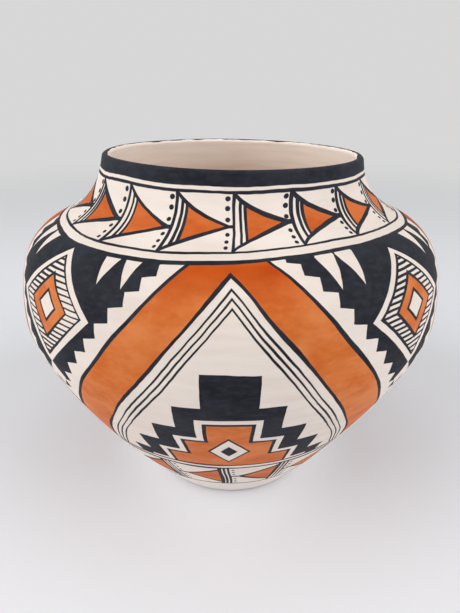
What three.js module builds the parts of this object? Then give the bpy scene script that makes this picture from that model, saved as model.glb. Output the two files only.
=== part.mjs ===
// Wide-shouldered jar of coiled and scraped clay, standing on z = 0 with its axis on Z.
// A mould-formed base carries a stack of flattened clay coils, and a last coil makes the lip.
// Each coil sits on the one below in a stepped lap: its outer half rests on the land outside,
// and its inner half is smeared down over the step inside. Lengths are in millimetres.
import * as THREE from 'three';

// Outer wall, as three curves that run from the foot to the belly, the shoulder and the lip.
// A pull is how far the wall keeps its direction before it bends towards the next point.
const FOOT_RADIUS = 62;
const FOOT_ANGLE = 50;
const FOOT_PULL = 35;
const BELLY_RADIUS = 140;
const BELLY_HEIGHT = 140;
const BELLY_PULL_BELOW = 26;
const BELLY_PULL_ABOVE = 46;
const SHOULDER_RADIUS = 113;
const SHOULDER_RISE = 56;
const SHOULDER_ANGLE = 27;
const SHOULDER_PULL_BELOW = 11;
const SHOULDER_PULL_ABOVE = 16;
const LIP_RADIUS = 83;
const LIP_RISE = 35;
const LIP_ANGLE = 77;
const LIP_PULL = 22;

// Clay
const WALL = 4.5;
const FLOOR = 6;
const RING_WIDTH = 11;
const DISH_DEPTH = 6;

// Base wall and coils
const BASE_WALL_LENGTH = 32;
const COIL_COUNT = 12;
const LAP = 2.5;

// Facets
const SIDES = 48;
const WALL_STEPS = 2;
const FLOOR_STEPS = 4;
const HEEL_STEPS = 5;
const LIP_STEPS = 4;
const TRACE_STEPS = 600;

const WHITE_SLIP = 0xe9ded6;
const BARE_SLIP = 0xe2d3c8;
const BLACK_PAINT = 0x2a2c33;

// A point that lies a given length and angle (degrees above level) from another.
function reach(from, length, angle) {
  const turn = THREE.MathUtils.degToRad(angle);
  return new THREE.Vector2(from.x + length * Math.cos(turn), from.y + length * Math.sin(turn));
}

// The outer wall in section: x is the radius and y the height.
function wallOutline() {
  const foot = new THREE.Vector2(FOOT_RADIUS, 0);
  const belly = new THREE.Vector2(BELLY_RADIUS, BELLY_HEIGHT);
  const shoulder = new THREE.Vector2(SHOULDER_RADIUS, BELLY_HEIGHT + SHOULDER_RISE);
  const lip = new THREE.Vector2(LIP_RADIUS, shoulder.y + LIP_RISE);
  const inwards = 180 - SHOULDER_ANGLE;
  const outline = new THREE.CurvePath();
  outline.add(new THREE.CubicBezierCurve(
    foot, reach(foot, FOOT_PULL, FOOT_ANGLE), reach(belly, BELLY_PULL_BELOW, -90), belly));
  outline.add(new THREE.CubicBezierCurve(
    belly, reach(belly, BELLY_PULL_ABOVE, 90), reach(shoulder, -SHOULDER_PULL_BELOW, inwards), shoulder));
  outline.add(new THREE.CubicBezierCurve(
    shoulder, reach(shoulder, SHOULDER_PULL_ABOVE, inwards), reach(lip, LIP_PULL, -LIP_ANGLE), lip));
  return outline;
}

const outline = wallOutline();
const outlineLength = outline.getLength();

// The outline's unit normal, pointing out of the pot.
function outwards(share) {
  const along = outline.getTangent(share);
  return new THREE.Vector2(along.y, -along.x);
}

// The wall's outer and inner faces as close points, both by share of the outline's length.
const outerTrace = [];
const innerTrace = [];
for (let i = 0; i <= TRACE_STEPS; i += 1) {
  const share = i / TRACE_STEPS;
  const point = outline.getPoint(share);
  outerTrace.push(point);
  innerTrace.push(point.clone().addScaledVector(outwards(share), -WALL));
}

// The radius of a face at a height.
function radiusAt(trace, height) {
  const above = Math.max(1, trace.findIndex((point) => point.y >= height));
  const low = trace[above - 1];
  const high = trace[above];
  return THREE.MathUtils.mapLinear(height, low.y, high.y, low.x, high.x);
}

// The points of a face between two heights, its ends left out.
function facePoints(trace, from, to) {
  const points = [];
  for (let i = 1; i < WALL_STEPS; i += 1) {
    const height = THREE.MathUtils.lerp(from, to, i / WALL_STEPS);
    points.push(new THREE.Vector2(radiusAt(trace, height), height));
  }
  return points;
}

// The lap between two pieces, from the outer face to the inner one: a level land,
// an upright step in the middle of the clay, and a second land lower down inside.
function lapJoint(height) {
  const sunk = height - LAP;
  const outerLimit = Math.min(radiusAt(outerTrace, height), radiusAt(outerTrace, sunk));
  const innerLimit = Math.max(radiusAt(innerTrace, height), radiusAt(innerTrace, sunk));
  const middle = (outerLimit + innerLimit) / 2;
  return [
    new THREE.Vector2(radiusAt(outerTrace, height), height),
    new THREE.Vector2(middle, height),
    new THREE.Vector2(middle, sunk),
    new THREE.Vector2(radiusAt(innerTrace, sunk), sunk),
  ];
}

// The seams lie at equal steps along the wall, from the top of the base to the lip.
const seams = [];
const coilLength = (outlineLength - BASE_WALL_LENGTH) / COIL_COUNT;
for (let i = 0; i < COIL_COUNT; i += 1) {
  const along = BASE_WALL_LENGTH + i * coilLength;
  seams.push(lapJoint(outline.getPoint(along / outlineLength).y));
}

// The rounded lip, from the outer face over the top to the inner face.
function lipPoints() {
  const out = outwards(1);
  const up = outline.getTangent(1);
  const middle = outline.getPoint(1).addScaledVector(out, -WALL / 2);
  const points = [];
  for (let i = 0; i <= LIP_STEPS; i += 1) {
    const turn = Math.PI * i / LIP_STEPS;
    points.push(middle.clone()
      .addScaledVector(out, Math.cos(turn) * WALL / 2)
      .addScaledVector(up, Math.sin(turn) * WALL / 2));
  }
  return points;
}

// The base: a hollowed underside inside a flat resting ring, the start of the wall,
// and a floor that follows the hollow and meets the wall in a soft heel.
function baseProfile(top) {
  const ringInside = FOOT_RADIUS - RING_WIDTH;
  const dishAt = (radius) => DISH_DEPTH * Math.cos(Math.PI / 2 * radius / ringInside);
  const under = [];
  const floor = [];
  for (let i = 0; i < FLOOR_STEPS; i += 1) {
    const radius = ringInside * i / FLOOR_STEPS;
    under.push(new THREE.Vector2(radius, dishAt(radius)));
    floor.unshift(new THREE.Vector2(radius, dishAt(radius) + FLOOR));
  }
  const heel = new THREE.QuadraticBezierCurve(
    top[top.length - 1],
    new THREE.Vector2(radiusAt(innerTrace, FLOOR), FLOOR),
    new THREE.Vector2(ringInside, FLOOR));
  return [
    ...under,
    new THREE.Vector2(ringInside, 0),
    new THREE.Vector2(FOOT_RADIUS, 0),
    ...facePoints(outerTrace, 0, top[0].y),
    ...top,
    ...heel.getPoints(HEEL_STEPS).slice(1),
    ...floor,
  ];
}

// A coil between its lower lap and the points that close it above.
function coilProfile(bottom, top) {
  const outerTop = top[0];
  const innerTop = top[top.length - 1];
  const innerBottom = bottom[bottom.length - 1];
  return [
    bottom[0],
    ...facePoints(outerTrace, bottom[0].y, outerTop.y),
    ...top,
    ...facePoints(innerTrace, innerTop.y, innerBottom.y),
    ...[...bottom].reverse(),
  ];
}

const jar = new THREE.Group();

function addPiece(name, profile, color, roughness) {
  const geometry = new THREE.LatheGeometry(profile, SIDES);
  geometry.rotateX(Math.PI / 2);
  const clay = new THREE.MeshStandardMaterial({ color, roughness, metalness: 0 });
  const piece = new THREE.Mesh(geometry, clay);
  piece.name = name;
  jar.add(piece);
}

addPiece('base', baseProfile(seams[0]), BARE_SLIP, 0.85);
for (let i = 1; i < COIL_COUNT; i += 1) {
  const number = String(i).padStart(2, '0');
  addPiece(`coil_${number}`, coilProfile(seams[i - 1], seams[i]), WHITE_SLIP, 0.8);
}
addPiece('rim_coil', coilProfile(seams[COIL_COUNT - 1], lipPoints()), BLACK_PAINT, 0.7);

export default jar;
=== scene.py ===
import bisect
import functools
import math

import bmesh
import bpy
from mathutils import Color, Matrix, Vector, noise
from mathutils.geometry import interpolate_bezier


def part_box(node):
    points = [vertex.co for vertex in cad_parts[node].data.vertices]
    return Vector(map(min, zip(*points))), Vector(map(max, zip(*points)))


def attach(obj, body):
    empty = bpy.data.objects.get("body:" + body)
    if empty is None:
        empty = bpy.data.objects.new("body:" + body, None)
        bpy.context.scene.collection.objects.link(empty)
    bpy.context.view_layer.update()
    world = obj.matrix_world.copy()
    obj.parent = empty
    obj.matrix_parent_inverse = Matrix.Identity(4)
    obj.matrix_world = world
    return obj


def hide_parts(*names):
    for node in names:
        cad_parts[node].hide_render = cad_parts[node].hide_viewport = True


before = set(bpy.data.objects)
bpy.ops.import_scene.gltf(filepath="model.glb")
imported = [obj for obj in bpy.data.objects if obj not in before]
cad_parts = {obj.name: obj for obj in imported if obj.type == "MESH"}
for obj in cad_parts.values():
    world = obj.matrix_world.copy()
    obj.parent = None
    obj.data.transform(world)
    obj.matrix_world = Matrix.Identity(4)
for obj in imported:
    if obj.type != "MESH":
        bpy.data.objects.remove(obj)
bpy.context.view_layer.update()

# The camera stands where a phone would be held, close in front of the jar and above its rim,
# so that it looks down into the mouth.
CAMERA_DISTANCE = 0.3215
CAMERA_HEIGHT = 0.2694
CAMERA_SIDE = -0.0006
CAMERA_PITCH = 24.73
FOCAL_PIXELS = 470
PHOTO_HEIGHT = 613
SENSOR_WIDTH = 36
NEAREST_SEEN = 0.01

bpy.context.scene.view_settings.view_transform = "Standard"
camera_data = bpy.data.cameras.new("camera")
camera_data.sensor_width = SENSOR_WIDTH
camera_data.lens = FOCAL_PIXELS / PHOTO_HEIGHT * SENSOR_WIDTH
camera_data.clip_start = NEAREST_SEEN
camera = bpy.data.objects.new("camera", camera_data)
camera.location = (CAMERA_SIDE, -CAMERA_DISTANCE, CAMERA_HEIGHT)
camera.rotation_euler = (math.radians(90 - CAMERA_PITCH), 0, 0)
bpy.context.collection.objects.link(camera)
bpy.context.scene.camera = camera

# The base is pressed into a shallow mould: a flat resting ring round a hollow that lets the jar
# sit steady, and the first of the wall. It is white slip over pale clay, with a fine line at its
# top. The wall is one skin 4.5 mm thick, so its two faces are drawn here for every piece.
WALL = 0.0045
FOOT = Vector((0.062, 0, 0))
BELLY = Vector((0.140, 0, 0.140))
SHOULDER = Vector((0.113, 0, 0.196))
LIP = Vector((0.083, 0, 0.231))
FOOT_ANGLE = 50
BELLY_ANGLE = 90
SHOULDER_ANGLE = 180 - 27
LIP_ANGLE = 180 - 77
FOOT_PULL = 0.035
UNDER_BELLY_PULL = 0.026
OVER_BELLY_PULL = 0.046
UNDER_SHOULDER_PULL = 0.011
OVER_SHOULDER_PULL = 0.016
LIP_PULL = 0.022
CURVE_POINTS = 300
ROW = 0.0025
HIDDEN = -1


def reach(start, length, angle):
    """The point a length away from another, at an angle in degrees above level."""
    turn = math.radians(angle)
    return start + length * Vector((math.cos(turn), 0, math.sin(turn)))


def outline_points():
    """Close points up the outer face, from the foot to the belly, the shoulder and the lip."""
    over_foot = reach(FOOT, FOOT_PULL, FOOT_ANGLE)
    under_belly = reach(BELLY, -UNDER_BELLY_PULL, BELLY_ANGLE)
    over_belly = reach(BELLY, OVER_BELLY_PULL, BELLY_ANGLE)
    under_shoulder = reach(SHOULDER, -UNDER_SHOULDER_PULL, SHOULDER_ANGLE)
    over_shoulder = reach(SHOULDER, OVER_SHOULDER_PULL, SHOULDER_ANGLE)
    under_lip = reach(LIP, -LIP_PULL, LIP_ANGLE)
    curves = [
        (FOOT, over_foot, under_belly, BELLY),
        (BELLY, over_belly, under_shoulder, SHOULDER),
        (SHOULDER, over_shoulder, under_lip, LIP),
    ]
    points = [FOOT]
    for curve in curves:
        points += interpolate_bezier(*curve, CURVE_POINTS)[1:]
    return points


def outwards(points, index):
    """The normal of a line of points that runs up, out of the jar."""
    along = points[min(index + 1, len(points) - 1)] - points[max(index - 1, 0)]
    return Vector((along.z, 0, -along.x)).normalized()


class Face:
    """One face of the wall, as points in the plane y = 0 with the path length at each."""

    def __init__(self, points, start=0, way=1):
        self.points = points
        self.heights = [point.z for point in points]
        self.paths = [start]
        for low, high in zip(points, points[1:]):
            self.paths.append(self.paths[-1] + way * (high - low).length)

    def at(self, height):
        """The point of the face at a height, and its path length."""
        above = bisect.bisect_left(self.heights, height, 1, len(self.heights) - 1)
        low, high = self.points[above - 1], self.points[above]
        share = (height - low.z) / (high.z - low.z)
        path = self.paths[above - 1] + share * (self.paths[above] - self.paths[above - 1])
        return low.lerp(high, share), path

    def rows(self, start, end):
        """The points from one height to another, a row apart, with the ends left out."""
        count = max(1, round(abs(self.at(end)[1] - self.at(start)[1]) / ROW))
        return [self.at(start + (end - start) * i / count) for i in range(1, count)]


outline = outline_points()
outer_face = Face(outline)
WALL_LENGTH = outer_face.paths[-1]
LIP_ARC = math.pi * WALL / 2
inner_points = [point - WALL * outwards(outline, i) for i, point in enumerate(outline)]
inner_length = Face(inner_points).paths[-1]
inner_face = Face(inner_points, WALL_LENGTH + LIP_ARC + inner_length, -1)

COIL_COUNT = 11
COILS = [f"coil_{i + 1:02d}" for i in range(COIL_COUNT)]
seam_heights = [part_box(name)[1].z for name in ["base", *COILS]]
LAP = seam_heights[0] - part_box("coil_01")[0].z


def lap(height):
    """The stepped meeting of two pieces, from the outer face in."""
    sunk = height - LAP
    outer = min(outer_face.at(height)[0].x, outer_face.at(sunk)[0].x)
    inner = max(inner_face.at(height)[0].x, inner_face.at(sunk)[0].x)
    middle = (outer + inner) / 2
    step = [(Vector((middle, 0, height)), HIDDEN), (Vector((middle, 0, sunk)), HIDDEN)]
    return [outer_face.at(height), *step, inner_face.at(sunk)]


FLOOR = 0.006
RING_WIDTH = 0.011
DISH_DEPTH = 0.006
FOOT_ROUND = 0.0008
FOOT_CORNER = Vector((0.2, 0, 0.4))
HEEL_STEPS = 12


def base_section(top):
    """Half the base cut through, from the middle of its underside to the middle of its floor."""
    ring_inside = FOOT.x - RING_WIDTH
    floor_path = inner_face.at(FLOOR)[1] + FOOT.x
    under = []
    floor = []
    steps = round(ring_inside / ROW)
    for i in range(steps):
        radius = ring_inside * i / steps
        rise = DISH_DEPTH * math.cos(math.pi / 2 * radius / ring_inside)
        under.append((Vector((radius, 0, rise)), radius - FOOT.x))
        floor.append((Vector((radius, 0, rise + FLOOR)), floor_path - radius))
    ring = [
        (Vector((ring_inside, 0, 0)), ring_inside - FOOT.x),
        (Vector((FOOT.x - RING_WIDTH / 2, 0, 0)), -RING_WIDTH / 2),
        (Vector((FOOT.x - FOOT_ROUND, 0, 0)), -FOOT_ROUND),
        (FOOT + FOOT_ROUND * FOOT_CORNER, 0),
        outer_face.at(FOOT_ROUND),
    ]
    heel_start, heel_path = top[-1]
    heel_bend = inner_face.at(FLOOR)[0]
    heel_end = Vector((ring_inside, 0, FLOOR))
    heel = []
    for i in range(1, HEEL_STEPS + 1):
        share = i / HEEL_STEPS
        point = heel_start.lerp(heel_bend, share).lerp(heel_bend.lerp(heel_end, share), share)
        heel.append((point, heel_path + share * (floor[-1][1] - heel_path)))
    wall = outer_face.rows(FOOT_ROUND, top[0][0].z)
    return [*under, *ring, *wall, *top, *heel, *reversed(floor)]


SWELL = 0.0007
SWELL_RATE = 11
SCRAPE = 0.0004
SCRAPE_RATES = Vector((6, 6, 70))
MIDDLE_REACH = 0.03
HOLLOW_DEPTH = 0.0009
HOLLOW_HEIGHT = 0.204
HOLLOW_REACH = 0.026
LEAN = -0.0012
LEAN_TOP = 0.17
NECK_FOOT = 0.2
NECK_SHIFT = 0.0014
NECK_RISE = 0.0007
NECK_TILT = 0.015
RIM_WAVE = 0.0005
RIM_WAVE_RATE = 14
RIM_WAVE_PLACE = Vector((5, 5, 5))


def wander(point, inside):
    """A point of the true form, moved as a hand-built wall strays from it."""
    swell = SWELL * noise.noise(point * SWELL_RATE)
    if inside:
        swell += SCRAPE * noise.noise(point * SCRAPE_RATES)
    swell -= HOLLOW_DEPTH * max(0, 1 - ((point.z - HOLLOW_HEIGHT) / HOLLOW_REACH) ** 2)
    out = Vector((point.x, point.y, 0))
    out = out.normalized() if out.length > MIDDLE_REACH else out / MIDDLE_REACH
    neck = min(1, max(0, point.z - NECK_FOOT) / (LIP.z - NECK_FOOT))
    lean = LEAN * math.sin(math.pi * min(1, point.z / LEAN_TOP)) + NECK_SHIFT * neck
    wave = RIM_WAVE * noise.noise(point * RIM_WAVE_RATE + RIM_WAVE_PLACE)
    rise = neck * (wave + NECK_RISE - NECK_TILT * point.x)
    return point + swell * out + Vector((lean, 0, rise))


MARGIN = 0.005
STRIP_LOW = 0.15
STRIP_HIGH = 0.85
DISC_SCALE = 3.1
UNDER_DISC = (0.21, 0.7)
FLOOR_DISC = (0.71, 0.7)
BASE_ROWS = 3
BASE_OUTER_TOP = 0.38
BASE_LAPS_TOP = 0.42
OUTER_ROWS = 5
INNER_ROWS = 3
COIL_OUTER_TOP = 0.61
COIL_INNER_TOP = 0.91
COIL_LAPS_TOP = 0.99


def lay_rows(faces, paint, bake, rows, low, high):
    """Lays faces out for the bake in rows that each hold a part of the turn."""
    paths = [loop[paint].uv.y for face in faces for loop in face.loops]
    bottom, top = min(paths), max(paths)
    tall = (high - low) / rows
    for face in faces:
        middle = sum(loop[paint].uv.x for loop in face.loops) / len(face.loops)
        row = math.floor((middle + 0.5) * rows)
        for loop in face.loops:
            turn, path = loop[paint].uv
            across = (turn + 0.5) * rows - row
            up = (path - bottom) / (top - bottom)
            loop[bake].uv = (MARGIN + across * (1 - 2 * MARGIN),
                             low + tall * row + MARGIN + up * (tall - 2 * MARGIN))


def lay_strips(faces, paint, bake, step_of, low, high):
    """Lays the faces of the laps out for the bake, a strip for each ring of them."""
    rings = [tuple(sorted({vert[step_of] for vert in face.verts})) for face in faces]
    known = sorted(set(rings))
    tall = (high - low) / len(known)
    for face, ring in zip(faces, rings):
        strip = low + tall * known.index(ring)
        for loop in face.loops:
            across = loop[paint].uv.x + 0.5
            up = STRIP_HIGH if loop.vert[step_of] == ring[-1] else STRIP_LOW
            loop[bake].uv = (MARGIN + across * (1 - 2 * MARGIN), strip + up * tall)


def lay_disc(faces, paint, bake, centre, middle_path):
    """Lays the faces round a middle out for the bake as a disc."""
    for face in faces:
        for loop in face.loops:
            turn, path = loop[paint].uv
            radius = abs(path - middle_path) * DISC_SCALE
            loop[bake].uv = (centre[0] + radius * math.cos(turn * math.tau),
                             centre[1] + radius * math.sin(turn * math.tau))


def lay_out(bm, paint, path_of, step_of):
    """A map for the bake that gives the fine painted lines of the outer face the most room."""
    bake = bm.loops.layers.uv.new("OFBake")
    under, outer, inner, laps = [], [], [], []
    for face in bm.faces:
        paths = [vert[path_of] for vert in face.verts]
        if min(paths) == HIDDEN:
            laps.append(face)
        elif max(paths) <= 0:
            under.append(face)
        elif sum(paths) / len(paths) < WALL_LENGTH + LIP_ARC / 2:
            outer.append(face)
        else:
            inner.append(face)
    if under:
        floor_middle = max(vert[path_of] for vert in bm.verts)
        lay_rows(outer, paint, bake, BASE_ROWS, 0, BASE_OUTER_TOP)
        lay_strips(laps, paint, bake, step_of, BASE_OUTER_TOP, BASE_LAPS_TOP)
        lay_disc(under, paint, bake, UNDER_DISC, -FOOT.x)
        lay_disc(inner, paint, bake, FLOOR_DISC, floor_middle)
    else:
        lay_rows(outer, paint, bake, OUTER_ROWS, 0, COIL_OUTER_TOP)
        lay_rows(inner, paint, bake, INNER_ROWS, COIL_OUTER_TOP, COIL_INNER_TOP)
        lay_strips(laps, paint, bake, step_of, COIL_INNER_TOP, COIL_LAPS_TOP)


TURN_STEPS = 240
SAME_PLACE = 1e-6


def order_faces(bm):
    """Puts the faces in the order of their corners, as a spin leaves them in any order."""
    bm.verts.index_update()
    ordered = sorted(bm.faces, key=lambda face: [vert.index for vert in face.verts])
    places = {face: place for place, face in enumerate(ordered)}
    bm.faces.sort(key=places.get)


def spun(name, section, closed=True):
    """A piece of clay, turned from its section, with a map of turn round the jar and path up it."""
    bm = bmesh.new()
    path_of = bm.verts.layers.float.new("path")
    step_of = bm.verts.layers.int.new("step")
    corners = []
    for point, path in section:
        corners.append(bm.verts.new(point))
        corners[-1][path_of] = path
        corners[-1][step_of] = len(corners)
    following = corners[1:] + corners[:1] * closed
    edges = [bm.edges.new(pair) for pair in zip(corners, following)]
    bmesh.ops.spin(bm, geom=corners + edges, cent=(0, 0, 0), axis=(0, 0, 1), dvec=(0, 0, 0),
                   angle=math.tau, steps=TURN_STEPS, use_merge=True)
    bmesh.ops.remove_doubles(bm, verts=bm.verts, dist=SAME_PLACE)
    bmesh.ops.recalc_face_normals(bm, faces=bm.faces)
    order_faces(bm)
    paint_map = bm.loops.layers.uv.new("paint")
    for face in bm.faces:
        middle = face.calc_center_median()
        middle_turn = math.atan2(middle.x, -middle.y)
        for loop in face.loops:
            turn = math.atan2(loop.vert.co.x, -loop.vert.co.y)
            turn = middle_turn + math.remainder(turn - middle_turn, math.tau)
            loop[paint_map].uv = (turn / math.tau, loop.vert[path_of])
        face.smooth = True
    lay_out(bm, paint_map, path_of, step_of)
    for vert in bm.verts:
        vert.co = wander(vert.co, vert[path_of] > WALL_LENGTH)
    mesh = bpy.data.meshes.new(name)
    bm.to_mesh(mesh)
    bm.free()
    piece = bpy.data.objects.new(name, mesh)
    bpy.context.collection.objects.link(piece)
    return piece


MILLIMETRES = 1000
PAINT_EDGE = 0.22
MIX_LOW, MIX_HIGH, MIX_COLOUR = 6, 7, 2


def colour(red, green, blue):
    """The linear colour of three screen values."""
    screen = Color((red / 255, green / 255, blue / 255))
    return (*screen.from_srgb_to_scene_linear(), 1)


class Wire:
    """One result of a material's nodes. Arithmetic on it adds Math nodes."""

    def __init__(self, tree, socket=None):
        self.tree = tree
        self.socket = socket

    def node(self, kind, settings, sockets, result=0):
        """Adds a node of a type, with its settings, then the values or links of its sockets."""
        node = self.tree.nodes.new(kind)
        for name, value in settings.items():
            setattr(node, name, value)
        for name, value in sockets.items():
            if isinstance(value, Wire):
                self.tree.links.new(value.socket, node.inputs[name])
            else:
                node.inputs[name].default_value = value
        return Wire(self.tree, node.outputs[result])

    def result(self, name):
        """Another result of the same node."""
        return Wire(self.tree, self.socket.node.outputs[name])

    def parts(self):
        """The three numbers of a vector or a colour."""
        first = self.node("ShaderNodeSeparateXYZ", {}, {0: self})
        return [first, first.result(1), first.result(2)]

    def maths(self, operation, *values, clamp=False):
        settings = {"operation": operation, "use_clamp": clamp}
        return self.node("ShaderNodeMath", settings, dict(enumerate(values)))

    def __add__(self, other):
        return self.maths("ADD", self, other)

    def __sub__(self, other):
        return self.maths("SUBTRACT", self, other)

    def __rsub__(self, other):
        return self.maths("SUBTRACT", other, self)

    def __mul__(self, other):
        return self.maths("MULTIPLY", self, other)

    def __truediv__(self, other):
        return self.maths("DIVIDE", self, other)

    def __mod__(self, other):
        return self.maths("FLOORED_MODULO", self, other)

    def __pow__(self, other):
        return self.maths("POWER", self, other)

    def __gt__(self, other):
        return self.maths("GREATER_THAN", self, other)

    def __abs__(self):
        return self.maths("ABSOLUTE", self)

    __radd__ = __add__
    __rmul__ = __mul__

    def floor(self):
        return self.maths("FLOOR", self)

    def sine(self):
        return self.maths("SINE", self)

    def cosine(self):
        return self.maths("COSINE", self)

    def both(self, other):
        """The lower of two coverages, where both shapes are."""
        return self.maths("MINIMUM", self, other)

    def either(self, other):
        """The higher of two coverages, where one of the shapes is."""
        return self.maths("MAXIMUM", self, other)

    def filled(self):
        """The coverage of a shape, from the distance out of its edge in millimetres."""
        return self.maths("MULTIPLY_ADD", self, -1 / PAINT_EDGE, 0.5, clamp=True)

    def stroke(self, width):
        """The coverage of a brush stroke along a line, from the distance to the line."""
        return (abs(self) - width * 0.5).filled()

    def between(self, low, high):
        """The coverage of what lies from one value to another, in millimetres."""
        return (low - self).either(self - high).filled()

    def from_middle(self, pitch):
        """The distance to the middle of the nearest of marks that repeat at a pitch."""
        count = self / pitch
        return (count - count.floor() - 0.5) * pitch

    def from_end(self):
        """How far a share is from the nearer of its ends."""
        return 0.5 - abs(self - 0.5)

    def arch(self):
        """A curve over a share that is 0 at both its ends and 1 halfway."""
        return self * (1 - self) * 4

    def ramp(self, low, high):
        """The share from 0 to 1 between two values."""
        sockets = {"Value": self, "From Min": low, "From Max": high}
        return self.node("ShaderNodeMapRange", {"interpolation_type": "SMOOTHSTEP"}, sockets)

    def blend(self, low, high):
        """A colour from one to another by this share, each a wire or three screen values."""
        ends = [end if isinstance(end, Wire) else colour(*end) for end in (low, high)]
        sockets = {"Factor": self, MIX_LOW: ends[0], MIX_HIGH: ends[1]}
        return self.node("ShaderNodeMix", {"data_type": "RGBA"}, sockets, MIX_COLOUR)

    def mottle(self, size, stretch=(1, 1, 1), detail=2, result=0):
        """Noise on the place in metres, of patches of a size in millimetres."""
        scale = tuple(MILLIMETRES / size / length for length in stretch)
        mapped = self.node("ShaderNodeMapping", {}, {"Vector": self, "Scale": scale})
        sockets = {"Vector": mapped, "Scale": 1, "Detail": detail}
        return self.node("ShaderNodeTexNoise", {}, sockets, result)


# Paint is measured in millimetres, on the path up the wall and on the turn round the jar.
DRIFT_SIZE = 30
DRIFT_ROUND = 2.4
DRIFT_UP = 1.8
SHAKE_SIZE = 5
SHAKE = 0.35
PRESS_DRIFT = 1.1
LOAD_SIZE = 12
HAIR_SIZE = 2.5
BRUSH_STRETCH = (2, 2, 1)
RING_SWING = 2.3
RING_SWINGS = 3
RING_TILT = 0.4
RING_FRONT = 1.2
RING_DROP = 2.2


class Hand:
    """Where the brush is on the clay, with the small drift of a hand."""

    def __init__(self, tree):
        start = Wire(tree)
        self.place = start.node("ShaderNodeTexCoord", {}, {}, "Object")
        laid_turn, laid_path, _ = start.node("ShaderNodeUVMap", {"uv_map": "paint"}, {}).parts()
        x, y, _ = self.place.parts()
        self.radius = (x * x + y * y) ** 0.5 * MILLIMETRES
        slow = self.place.mottle(DRIFT_SIZE, detail=0, result=1).parts()
        quick = self.place.mottle(SHAKE_SIZE, detail=0, result=1).parts()
        sideways = (slow[0] - 0.5) * DRIFT_ROUND + (quick[0] - 0.5) * SHAKE
        upwards = (slow[1] - 0.5) * DRIFT_UP + (quick[1] - 0.5) * SHAKE
        self.turn = laid_turn + sideways / (self.radius * math.tau)
        self.laid_path = laid_path * MILLIMETRES
        self.path = self.laid_path + upwards
        self.weight = (slow[2] - 0.5) * PRESS_DRIFT + 1
        self.load = self.place.mottle(LOAD_SIZE, BRUSH_STRETCH, detail=3)
        self.hairs = self.place.mottle(HAIR_SIZE, BRUSH_STRETCH, detail=3)
        angle = self.turn * math.tau
        self.facing = angle.cosine()
        self.swing = (angle * RING_SWINGS).sine()
        tilt = angle.sine() * RING_TILT
        self.waver = self.swing * RING_SWING + tilt + self.facing * RING_FRONT - RING_DROP

    def ring(self, path, width):
        """A line painted round the jar."""
        return (self.path - path).stroke(width * self.weight)


PATCH_SIZE = 90
POLISH_SIZE = 5
POLISH_STRETCH = (6, 6, 1)
GRAIN_SIZE = 0.7
WIPE_SIZE = 4
WIPE_STRETCH = (9, 9, 1)
FLECKS_PER_METRE = 50
FLECK_RADIUS = 0.3
FLECK_RARITY = 0.72
FLECK_SHARE = 0.7
LIP_PAINT_SHARE = 0.62
LIP_PAINT_END = (WALL_LENGTH + LIP_ARC * LIP_PAINT_SHARE) * MILLIMETRES

# A layer is a colour, the two values between which it comes in, and its greatest share.
SLIP = (246, 232, 221)
DULL_SLIP = ((237, 222, 211), 0.35, 0.65, 1)
POLISHED_SLIP = ((249, 239, 231), 0.3, 0.7, 0.5)
# The lighter slip low on the wall and under the base is painted light, not a change in the slip.
LOW_SLIP_PAINTED_LIGHT = ((252, 243, 239), 70, 10, 0.7)
FLECK = (150, 120, 100)
CLAY = (248, 235, 224)
WIPED_CLAY = ((241, 225, 213), 0.35, 0.7, 1)
PATCHED_CLAY = ((249, 239, 230), 0.4, 0.7, 0.5)
UNDER_SHARE = 0.6
WORN_PATHS = (-9, 0.6)
WORN_GRAIN = (0.3, 0.6)
WORN_SHARE = 0.7
WORN_FOOT = (176, 160, 146)
SLIP_ROUGHNESS = 0.46
POLISH_ROUGHNESS = 0.12
CLAY_ROUGHNESS = 0.25
POLISH_RELIEF = 0.5
GRAIN_RELIEF = 0.25
WIPE_RELIEF = 1.5
FLECK_RELIEF = 1.5


def over(ground, cover, layer):
    """The ground with a layer over it, as much as the cover says."""
    shade, low, high, share = layer
    return (cover.ramp(low, high) * share).blend(ground, shade)


def unpainted_clay(hand):
    """The colour, roughness and relief of the slip outside and the wiped bare clay inside."""
    patches = hand.place.mottle(PATCH_SIZE, detail=3)
    polish = hand.place.mottle(POLISH_SIZE, POLISH_STRETCH, detail=3)
    grain = hand.place.mottle(GRAIN_SIZE)
    wiping = hand.place.mottle(WIPE_SIZE, WIPE_STRETCH, detail=3)
    sockets = {"Vector": hand.place, "Scale": FLECKS_PER_METRE}
    fleck = hand.place.node("ShaderNodeTexVoronoi", {}, sockets)
    chance = fleck.result("Color").parts()[0]
    flecks = (fleck * (MILLIMETRES / FLECKS_PER_METRE) - FLECK_RADIUS).filled()
    flecks = flecks.both(chance > FLECK_RARITY) * FLECK_SHARE

    slip = over(SLIP, patches, DULL_SLIP)
    slip = over(slip, polish, POLISHED_SLIP)
    # Painted light: the slip is made lighter towards the bottom.
    slip = over(slip, hand.laid_path, LOW_SLIP_PAINTED_LIGHT)
    slip = flecks.blend(slip, FLECK)
    bare = over(CLAY, wiping, WIPED_CLAY)
    bare = over(bare, patches, PATCHED_CLAY)
    inside = (LIP_PAINT_END - hand.laid_path).filled()
    under = hand.laid_path.filled() * UNDER_SHARE
    worn = hand.laid_path.between(*WORN_PATHS) * grain.ramp(*WORN_GRAIN) * WORN_SHARE
    ground = inside.blend(slip, bare)
    ground = under.blend(ground, bare)
    ground = worn.blend(ground, WORN_FOOT)

    rough = SLIP_ROUGHNESS + polish * POLISH_ROUGHNESS + inside * CLAY_ROUGHNESS
    relief = polish * POLISH_RELIEF + grain * GRAIN_RELIEF
    relief = relief + inside * wiping * WIPE_RELIEF - flecks * FLECK_RELIEF
    return ground, rough, relief


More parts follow.
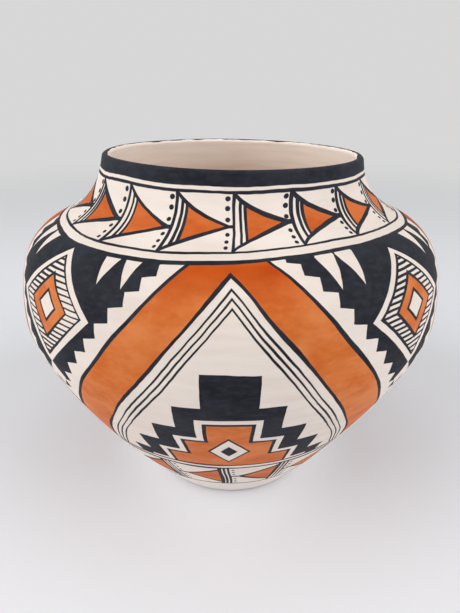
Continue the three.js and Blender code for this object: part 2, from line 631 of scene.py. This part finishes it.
BLACK = (27, 29, 36)
LOADED_BLACK = ((42, 44, 53), 0.35, 0.7, 1)
STREAKED_BLACK = ((54, 57, 67), 0.4, 0.7, 0.4)
BLACK_ROUGHNESS = 0.06
LOAD_ROUGHNESS = 0.1
SHINE = 0.12
RELIEF_STRENGTH = 0.5
RELIEF_DEPTH = 0.0003


def painted_clay(name, bands, orange_paint=None):
    """A material of clay with the black and orange of the bands that a piece carries."""
    material = bpy.data.materials.new(name)
    material.use_nodes = True
    tree = material.node_tree
    hand = Hand(tree)
    ground, rough, relief = unpainted_clay(hand)
    blacks, oranges = zip(*[band(hand) for band in bands])
    if orange_paint:
        orange = functools.reduce(Wire.either, [cover for cover in oranges if cover])
        ground = orange.blend(ground, orange_paint(hand))
    black = functools.reduce(Wire.either, blacks)
    coal = over(BLACK, hand.load, LOADED_BLACK)
    coal = over(coal, hand.hairs, STREAKED_BLACK)
    ground = black.blend(ground, coal)
    rough = rough + black * (hand.load * LOAD_ROUGHNESS + BLACK_ROUGHNESS)
    sockets = {"Height": relief, "Strength": RELIEF_STRENGTH, "Distance": RELIEF_DEPTH}
    bump = relief.node("ShaderNodeBump", {}, sockets)

    shader = tree.nodes["Principled BSDF"]
    shader.inputs["Specular IOR Level"].default_value = SHINE
    tree.links.new(ground.socket, shader.inputs["Base Color"])
    tree.links.new(rough.socket, shader.inputs["Roughness"])
    tree.links.new(bump.socket, shader.inputs["Normal"])
    return material


BORDER_PATH = 32.4
BORDER_LINE = 1.8


def lower_border(hand):
    """The fine line below which the slip is left plain."""
    return hand.ring(BORDER_PATH, BORDER_LINE), None


def finish(piece, node, material):
    piece.data.materials.append(material)
    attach(piece, "root")
    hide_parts(node)


base = spun("base_clay", base_section(lap(seam_heights[0])), closed=False)
finish(base, "base", painted_clay("plain_slip", [lower_border]))
pieces = [base]

# The coils are ropes of clay, each laid on the last, pinched thin, scraped and slipped. The three
# above the base carry the lower band: orange points, each with its base on a group of lines and
# its tip drawn out to the group before, with dots beside each group.
OCHRE = (228, 134, 74)
LOADED_OCHRE = ((212, 106, 40), 0.3, 0.7, 1)
STREAKED_OCHRE = ((236, 148, 84), 0.4, 0.75, 0.25)
DEEP_OCHRE = (202, 83, 0)
LOADED_DEEP_OCHRE = ((188, 69, 0), 0.3, 0.7, 1)
# Where the orange is deeper or lighter, it is partly thicker paint and partly painted shade and
# light.
HIGH_BELLY_PATHS = (198, 224)
HIGH_BELLY_DEPTH = 0.97
NECK_PATHS = (224, 234)
NECK_LIGHTER = 0.5
LOW_BELLY_PATHS = (60, 150)
LOW_BELLY_DEPTH = 0.3


def ochre(hand):
    """The orange paint, deeper high on the belly and low on it: partly thicker paint, partly
    painted shade.
    """
    neck = hand.laid_path.ramp(*NECK_PATHS) * NECK_LIGHTER
    deep = hand.laid_path.ramp(*HIGH_BELLY_PATHS) * (HIGH_BELLY_DEPTH - neck)
    deep = deep + (1 - hand.laid_path.ramp(*LOW_BELLY_PATHS)) * LOW_BELLY_DEPTH
    light = over(OCHRE, hand.load, LOADED_OCHRE)
    light = over(light, hand.hairs, STREAKED_OCHRE)
    return deep.blend(light, over(DEEP_OCHRE, hand.load, LOADED_DEEP_OCHRE))


LOWER_COILS = COILS[:2]
LOWER_UNITS = 17
LOWER_START = -3.3 / 360
LOWER_TOP = 74
LOWER_TOP_LINE = 2.6
LOWER_SLANT = 0.012
LOWER_TIP = 0.34
LOWER_SPREAD = 0.4
LOWER_SIDE_SCALE = 0.9
LOWER_EDGE = 2.4
TIP_OVERLAP = 0.03
GROUP_LINE = 2.3
GROUP_STRIPES = (2.8, 5.4)
GROUP_STRIPE = 1.4
LOWER_DOTS = (0.12, 0.25, 0.38, 0.66, 0.78, 0.9)
LOWER_DOT_ALONG = 8.3
LOWER_DOT = 1
FRAME_PATH = 79.8
FRAME_LINE = 2.3


def lower_band(hand):
    weight = hand.weight
    long = hand.radius * (math.tau / LOWER_UNITS)
    height = LOWER_TOP - BORDER_PATH
    share = (LOWER_TOP - hand.path) / height
    count = hand.turn * LOWER_UNITS - LOWER_START * LOWER_UNITS - share * LOWER_SLANT
    across = count - count.floor()
    along = across * long
    middle = share - 0.5
    before_tip = (LOWER_TIP - across) * long
    spread = (across - LOWER_TIP) / (1 - LOWER_TIP) * LOWER_SPREAD
    sides = (abs(middle) - spread) * (height * LOWER_SIDE_SCALE)

    black = (across.from_end() * long).stroke(GROUP_LINE * weight)
    for stripe in GROUP_STRIPES:
        black = black.either((along - stripe).stroke(GROUP_STRIPE * weight))
    black = black.either(sides.stroke(LOWER_EDGE * weight).both(before_tip.filled()))
    drawn_out = along.between(GROUP_STRIPES[-1], long * (LOWER_TIP + TIP_OVERLAP))
    black = black.either((middle * height).stroke(LOWER_EDGE).both(drawn_out))
    for dot in LOWER_DOTS:
        away = ((along - LOWER_DOT_ALONG) ** 2 + ((share - dot) * height) ** 2) ** 0.5
        black = black.either((away - LOWER_DOT).filled())

    band = hand.path.between(BORDER_PATH, LOWER_TOP)
    black = black.both(band).either(hand.ring(LOWER_TOP, LOWER_TOP_LINE))
    orange = sides.either(before_tip).filled().both(band)
    return black.either(hand.ring(FRAME_PATH, FRAME_LINE)), orange


def lay_coils(coils, paint):
    for coil in coils:
        index = COILS.index(coil)
        low, high = seam_heights[index], seam_heights[index + 1]
        bottom, top = lap(low), lap(high)
        section = [bottom[0], *outer_face.rows(low, high), *top,
                   *inner_face.rows(high - LAP, low - LAP), *reversed(bottom[1:])]
        pieces.append(spun(f"{coil}_clay", section))
        finish(pieces[-1], coil, paint)


lay_coils(LOWER_COILS, painted_clay("lower_paint", [lower_border, lower_band], ochre))

# The coils of the belly are laid and slipped like those below. They carry the main field, which
# repeats four times round the jar: an orange ribbon that goes up and down, stepped hills on white
# under it, and lozenges on black over it.
FRAME_COILS = COILS[2:3]
BELLY_COILS = COILS[3:9]
FIELD_REPEATS = 4
FIELD_HALF = 100
FIELD_LOW = 80
FIELD_HIGH = 228
SHOULDER_PATH = 229
SHOULDER_LINE = 2.5
RIBBON_SLOPE = 1.48
RIBBON_WIDTH = 22
RIBBON_TOP = 178
RIBBON_BOW = 3.5
RIBBON_LINE = 2
FINE_START = 3.4
FINE_COUNT = 3
FINE_PITCH = 2.8
FINE_LINE = 1.15
HILL_TOP = 92
HILL_INSETS = (10, 13.5, 15.5)
STEP_WIDTH = 13.2
STEP_HEIGHT = 19.5
SEED = (25, 12, 17)
SEED_LINE = 1.6
SEED_CORE = 5.6
TOOTH_WIDTH = 11
TOOTH_DEPTH = 10
TOOTH_GAP = 6.5
FLOWER = (109, 33, 34)
FLOWER_HATCHED = 4
FLOWER_ORANGE = 11.5
FLOWER_HEART = 18
FLOWER_LINES = [(FLOWER_HATCHED, 1.4), (FLOWER_ORANGE, 1.6), (FLOWER_HEART, 1.5)]
HATCH_PITCH = 2.9
HATCH_LINE = 1.2
BUD = (66, 7, 10)
HUNG_FROM, HUNG_TO = 26, 54
HUNG_PITCH = 14
HUNG = (FIELD_HIGH - FIELD_LOW, 6.4, 20)


def stepped_hill(across, up, inset):
    """The distance above a stepped hill that is smaller by an inset on all sides."""
    step = ((across + inset) / STEP_WIDTH).floor()
    return up - (HILL_TOP - inset) + step * STEP_HEIGHT


def lozenge(across, up, middle, half_width, half_height):
    """The distance out of a lozenge."""
    size = half_width * half_height / math.hypot(half_width, half_height)
    return (across / half_width + abs(up - middle) / half_height - 1) * size


def main_field(hand):
    weight = hand.weight
    count = hand.turn * FIELD_REPEATS
    across = abs(count - (count + 0.5).floor()) * (2 * FIELD_HALF)
    up = hand.path - FIELD_LOW
    bow = (up / (FIELD_HIGH - FIELD_LOW)).arch() * RIBBON_BOW
    steep = math.hypot(1, RIBBON_SLOPE)
    under = (RIBBON_TOP - across * RIBBON_SLOPE - up) / steep + bow
    orange = under.between(0, RIBBON_WIDTH)
    black = under.stroke(RIBBON_LINE * weight)
    black = black.either((under - RIBBON_WIDTH).stroke(RIBBON_LINE * weight))
    below = under - RIBBON_WIDTH - FINE_START
    fine = below.from_middle(FINE_PITCH).stroke(FINE_LINE * weight)
    black = black.either(fine.both(below.between(0, FINE_COUNT * FINE_PITCH)))

    hills = [stepped_hill(across, up, 0).filled()]
    for inset in HILL_INSETS:
        flat_top = up - (HILL_TOP - STEP_HEIGHT - inset)
        hills.append(stepped_hill(across, up, inset).either(flat_top).filled())
    black = black.either(hills[0] * (1 - hills[1])).either(hills[2] * (1 - hills[3]))
    seed = lozenge(across, up, *SEED)
    black = black.either(seed.stroke(SEED_LINE * weight)).either((seed + SEED_CORE).filled())
    orange = orange.either(hills[3] * (1 - seed.filled()))

    from_axis = FIELD_HALF - across
    teeth = abs(((across - up * RIBBON_SLOPE) / steep).from_middle(TOOTH_WIDTH))
    ground = (under + TOOTH_GAP + teeth * (TOOTH_DEPTH / TOOTH_WIDTH)).filled()
    flower = lozenge(from_axis, up, *FLOWER)
    hung = lozenge(abs((from_axis - HUNG_FROM).from_middle(HUNG_PITCH)), up, *HUNG).filled()
    hung = hung.both(from_axis.between(HUNG_FROM, HUNG_TO))
    light = flower.filled().either(lozenge(from_axis, up, *BUD).filled()).either(hung)
    black = black.either(ground * (1 - light))
    hatched = flower.between(-FLOWER_ORANGE, -FLOWER_HATCHED)
    black = black.either(up.from_middle(HATCH_PITCH).stroke(HATCH_LINE * weight).both(hatched))
    for inset, width in FLOWER_LINES:
        black = black.either((flower + inset).stroke(width * weight))
    heart = (flower + FLOWER_HEART).filled()
    orange = orange.either((flower + FLOWER_ORANGE).filled() * (1 - heart))

    top = SHOULDER_PATH + hand.waver
    field = hand.path.between(FRAME_PATH, top)
    black = black.both(field).either(hand.ring(top, SHOULDER_LINE))
    return black.either(hand.ring(FRAME_PATH, FRAME_LINE)), orange.both(field)


lay_coils(FRAME_COILS, painted_clay("frame_paint", [lower_band, main_field], ochre))
lay_coils(BELLY_COILS, painted_clay("field_paint", [main_field], ochre))

# The coils of the neck are laid further in over the shoulder, and then upright. They carry a band
# of orange points that lie on their sides. Each has a curved upper and lower edge, three stripes
# at its base, and dots in front of the next stripe.
NECK_COILS = COILS[9:]
NECK_UNITS = 18
NECK_START = 0.5 / 360
NECK_BOTTOM = 235.4
NECK_BOTTOM_LINE = 1.5
NECK_TOP = 267.9
NECK_TOP_LINE = 1.65
NECK_TIP = 0.92
NECK_TIP_OVERLAP = 0.02
NECK_MIDDLE = 0.49
FRONT_DROP = 0.04
MIDDLE_CHANCE = 0.04
STRIPE_CHANCE = 0.02
STRIPE_SWING = 2
UPPER_CURVE = 0.73
LOWER_CURVE = 0.62
POINT_HEIGHT = 28
POINT_EDGE = 2.2
FIRST_LINE = 2
STRIPE_ALONG = 0.116
BASE_ALONG = 0.2
STRIPE = 1.8
BAR_END = 0.86
BAR_LINE = 2.6
NECK_DOT_ALONG = 0.905
NECK_DOTS = [(0.09, 1.4), (0.24, 1.4), (0.42, 1.3), (0.67, 1.2), (0.8, 1.1), (0.91, 1.1)]


def neck_band(hand):
    weight = hand.weight
    long = hand.radius * (math.tau / NECK_UNITS)
    bottom = NECK_BOTTOM + hand.waver
    height = NECK_TOP - bottom
    share = (NECK_TOP - hand.path) / height
    bow = share.arch() * (1 - hand.facing - hand.swing * STRIPE_SWING)
    count = hand.turn * NECK_UNITS - NECK_START * NECK_UNITS - bow / long
    unit = count.floor()
    across = count - unit
    sockets = {"W": unit % NECK_UNITS}
    chance = unit.node("ShaderNodeTexWhiteNoise", {"noise_dimensions": "1D"}, sockets, 1).parts()
    shifted = across + (chance[0] - 0.5) * STRIPE_CHANCE
    middle = hand.facing * FRONT_DROP + (chance[1] - 0.5) * MIDDLE_CHANCE + NECK_MIDDLE

    along = across / NECK_TIP
    upper = middle * along ** UPPER_CURVE
    lower = 1 - (1 - middle) * along ** LOWER_CURVE
    sides = (upper - share).either(share - lower) * POINT_HEIGHT
    before_tip = ((across - NECK_TIP - NECK_TIP_OVERLAP) * long).filled()
    point = sides.filled().both(before_tip)
    from_base = (shifted - BASE_ALONG) * long
    stripes = ((shifted - STRIPE_ALONG) * long).stroke(STRIPE * weight)
    stripes = stripes.either(from_base.stroke(STRIPE * weight)).both(point)
    edges = sides.stroke(POINT_EDGE * weight).both(before_tip)
    first = (across.from_end() * long).stroke(FIRST_LINE * weight)
    bar = ((share - middle) * height).stroke(BAR_LINE * weight)
    bar = bar.both(((BAR_END - across) * long).filled())
    black = stripes.either(edges).either(first).either(bar)
    sideways = ((shifted - NECK_DOT_ALONG) * long) ** 2
    for dot, size in NECK_DOTS:
        away = (sideways + ((share - dot) * height) ** 2) ** 0.5
        black = black.either((away - size).filled())

    band = hand.path.between(bottom, NECK_TOP)
    black = black.both(band).either(hand.ring(bottom, NECK_BOTTOM_LINE))
    black = black.either(hand.ring(SHOULDER_PATH + hand.waver, SHOULDER_LINE))
    black = black.either(hand.ring(NECK_TOP, NECK_TOP_LINE))
    return black, (from_base * -1).filled().both(point).both(band)


lay_coils(NECK_COILS, painted_clay("neck_paint", [main_field, neck_band], ochre))

# The last coil makes the top of the neck and the lip, which is rounded over between the fingers
# and painted black down to a plain white strip.
LIP_STEPS = 10
RIM_EDGE = 270.5
RIM_WAVER_SIZE = 22
RIM_WAVER = 6


def rim_band(hand):
    waver = (hand.place.mottle(RIM_WAVER_SIZE, detail=3) - 0.5) * RIM_WAVER
    return hand.path.between(RIM_EDGE, LIP_PAINT_END + waver), None


lip_out = outwards(outline, len(outline) - 1)
lip_up = Vector((-lip_out.z, 0, lip_out.x))
lip_points = []
for i in range(LIP_STEPS + 1):
    turn = math.pi * i / LIP_STEPS
    point = LIP - WALL / 2 * (1 - math.cos(turn)) * lip_out + WALL / 2 * math.sin(turn) * lip_up
    lip_points.append((point, WALL_LENGTH + LIP_ARC * i / LIP_STEPS))
bottom = lap(seam_heights[-1])
section = [bottom[0], *outer_face.rows(seam_heights[-1], LIP.z), *lip_points,
           *inner_face.rows(inner_points[-1].z, seam_heights[-1] - LAP), *reversed(bottom[1:])]
pieces.append(spun("rim_coil_clay", section))
finish(pieces[-1], "rim_coil", painted_clay("rim_paint", [neck_band, rim_band], ochre))

# The wall is scraped and polished as one when all its coils are on, so no seam shows on it. The
# pieces get the normals of one unbroken wall for that.
SAME_DIGITS = 6


def shows(mesh, polygon):
    """Whether a face is outside a lap."""
    paths = mesh.attributes["path"].data
    return all(paths[index].value != HIDDEN for index in polygon.vertices)


slopes = {}
for piece in pieces:
    mesh = piece.data
    for polygon in mesh.polygons:
        if shows(mesh, polygon):
            for index in polygon.vertices:
                place = mesh.vertices[index].co.to_tuple(SAME_DIGITS)
                slopes[place] = slopes.get(place, Vector()) + polygon.normal * polygon.area
for piece in pieces:
    mesh = piece.data
    normals = [Vector()] * len(mesh.loops)
    for polygon in mesh.polygons:
        for loop in polygon.loop_indices:
            place = mesh.vertices[mesh.loops[loop].vertex_index].co.to_tuple(SAME_DIGITS)
            normals[loop] = slopes[place].normalized() if shows(mesh, polygon) else polygon.normal
    mesh.normals_split_custom_set(normals)

# The jar stands on a wide pale board that fades into a pale room. Large soft lamps at both sides
# and above light it, and a small one lights the inside through the mouth.
FLOOR_RADIUS = 9
FLOOR_SIDES = 96
FLOOR_GAP = 0.0002
BOARD = (242, 244, 248)
BOARD_ROUGHNESS = 0.9
FADE = (0.4, 1.8)
ROOM_SEEN = 0.68
ROOM_LIGHT = 0.32
WHITE = (255, 255, 255)
LAMP_AIM = Vector((0, 0, 0.15))
SOFTBOXES = [
    ("left_softbox", 18.6, 1.5, (-1.39, -0.57, 1.13)),
    ("right_softbox", 15.8, 1.5, (1.39, -0.57, 1.13)),
    ("top_softbox", 2.5, 1, (0, 0.1, 1.4)),
]
MOUTH_LAMP_PLACE = (0, 0, 1.5)
MOUTH_LAMP_POWER = 54
MOUTH_LAMP_ANGLE = 6.4
MOUTH_LAMP_BLEND = 0.4
MOUTH_LAMP_RADIUS = 0.04


def seen_directly(tree):
    """Whether a ray shows the room itself, and is not its light on the jar."""
    camera_ray = Wire(tree).node("ShaderNodeLightPath", {}, {}, "Is Camera Ray")
    glossy_ray = camera_ray.result("Is Glossy Ray")
    return camera_ray.either(glossy_ray).either(camera_ray.result("Is Transmission Ray"))


floor_mesh = bmesh.new()
bmesh.ops.create_circle(floor_mesh, cap_ends=True, segments=FLOOR_SIDES, radius=FLOOR_RADIUS)
bmesh.ops.translate(floor_mesh, verts=floor_mesh.verts, vec=(0, 0, -FLOOR_GAP))
floor_data = bpy.data.meshes.new("studio_floor")
floor_mesh.to_mesh(floor_data)
floor_mesh.free()
studio_floor = bpy.data.objects.new("studio_floor", floor_data)
bpy.context.collection.objects.link(studio_floor)

board = bpy.data.materials.new("pale_board")
board.use_nodes = True
board_shader = board.node_tree.nodes["Principled BSDF"]
board_shader.inputs["Base Color"].default_value = colour(*BOARD)
board_shader.inputs["Roughness"].default_value = BOARD_ROUGHNESS
start = Wire(board.node_tree)
x, y, _ = start.node("ShaderNodeTexCoord", {}, {}, "Object").parts()
fade = ((x * x + y * y) ** 0.5).ramp(*FADE) * seen_directly(board.node_tree)
room = start.node("ShaderNodeEmission", {}, {"Strength": ROOM_SEEN})
surface = Wire(board.node_tree, board_shader.outputs["BSDF"])
faded = start.node("ShaderNodeMixShader", {}, {0: fade, 1: surface, 2: room})
output = board.node_tree.nodes["Material Output"]
board.node_tree.links.new(faded.socket, output.inputs["Surface"])
floor_data.materials.append(board)

world = bpy.data.worlds.new("studio")
bpy.context.scene.world = world
world.use_nodes = True
background = world.node_tree.nodes["Background"]
background.inputs["Color"].default_value = colour(*WHITE)
glow = seen_directly(world.node_tree) * (ROOM_SEEN - ROOM_LIGHT) + ROOM_LIGHT
world.node_tree.links.new(glow.socket, background.inputs["Strength"])

for lamp_name, power, size, place in SOFTBOXES:
    lamp_data = bpy.data.lights.new(lamp_name, "AREA")
    lamp_data.energy = power
    lamp_data.size = size
    lamp = bpy.data.objects.new(lamp_name, lamp_data)
    lamp.location = place
    lamp.rotation_euler = (LAMP_AIM - lamp.location).to_track_quat("-Z", "Y").to_euler()
    lamp.visible_camera = False
    bpy.context.collection.objects.link(lamp)

mouth_data = bpy.data.lights.new("mouth_lamp", "SPOT")
mouth_data.energy = MOUTH_LAMP_POWER
mouth_data.spot_size = math.radians(MOUTH_LAMP_ANGLE)
mouth_data.spot_blend = MOUTH_LAMP_BLEND
mouth_data.shadow_soft_size = MOUTH_LAMP_RADIUS
mouth_lamp = bpy.data.objects.new("mouth_lamp", mouth_data)
mouth_lamp.location = MOUTH_LAMP_PLACE
bpy.context.collection.objects.link(mouth_lamp)
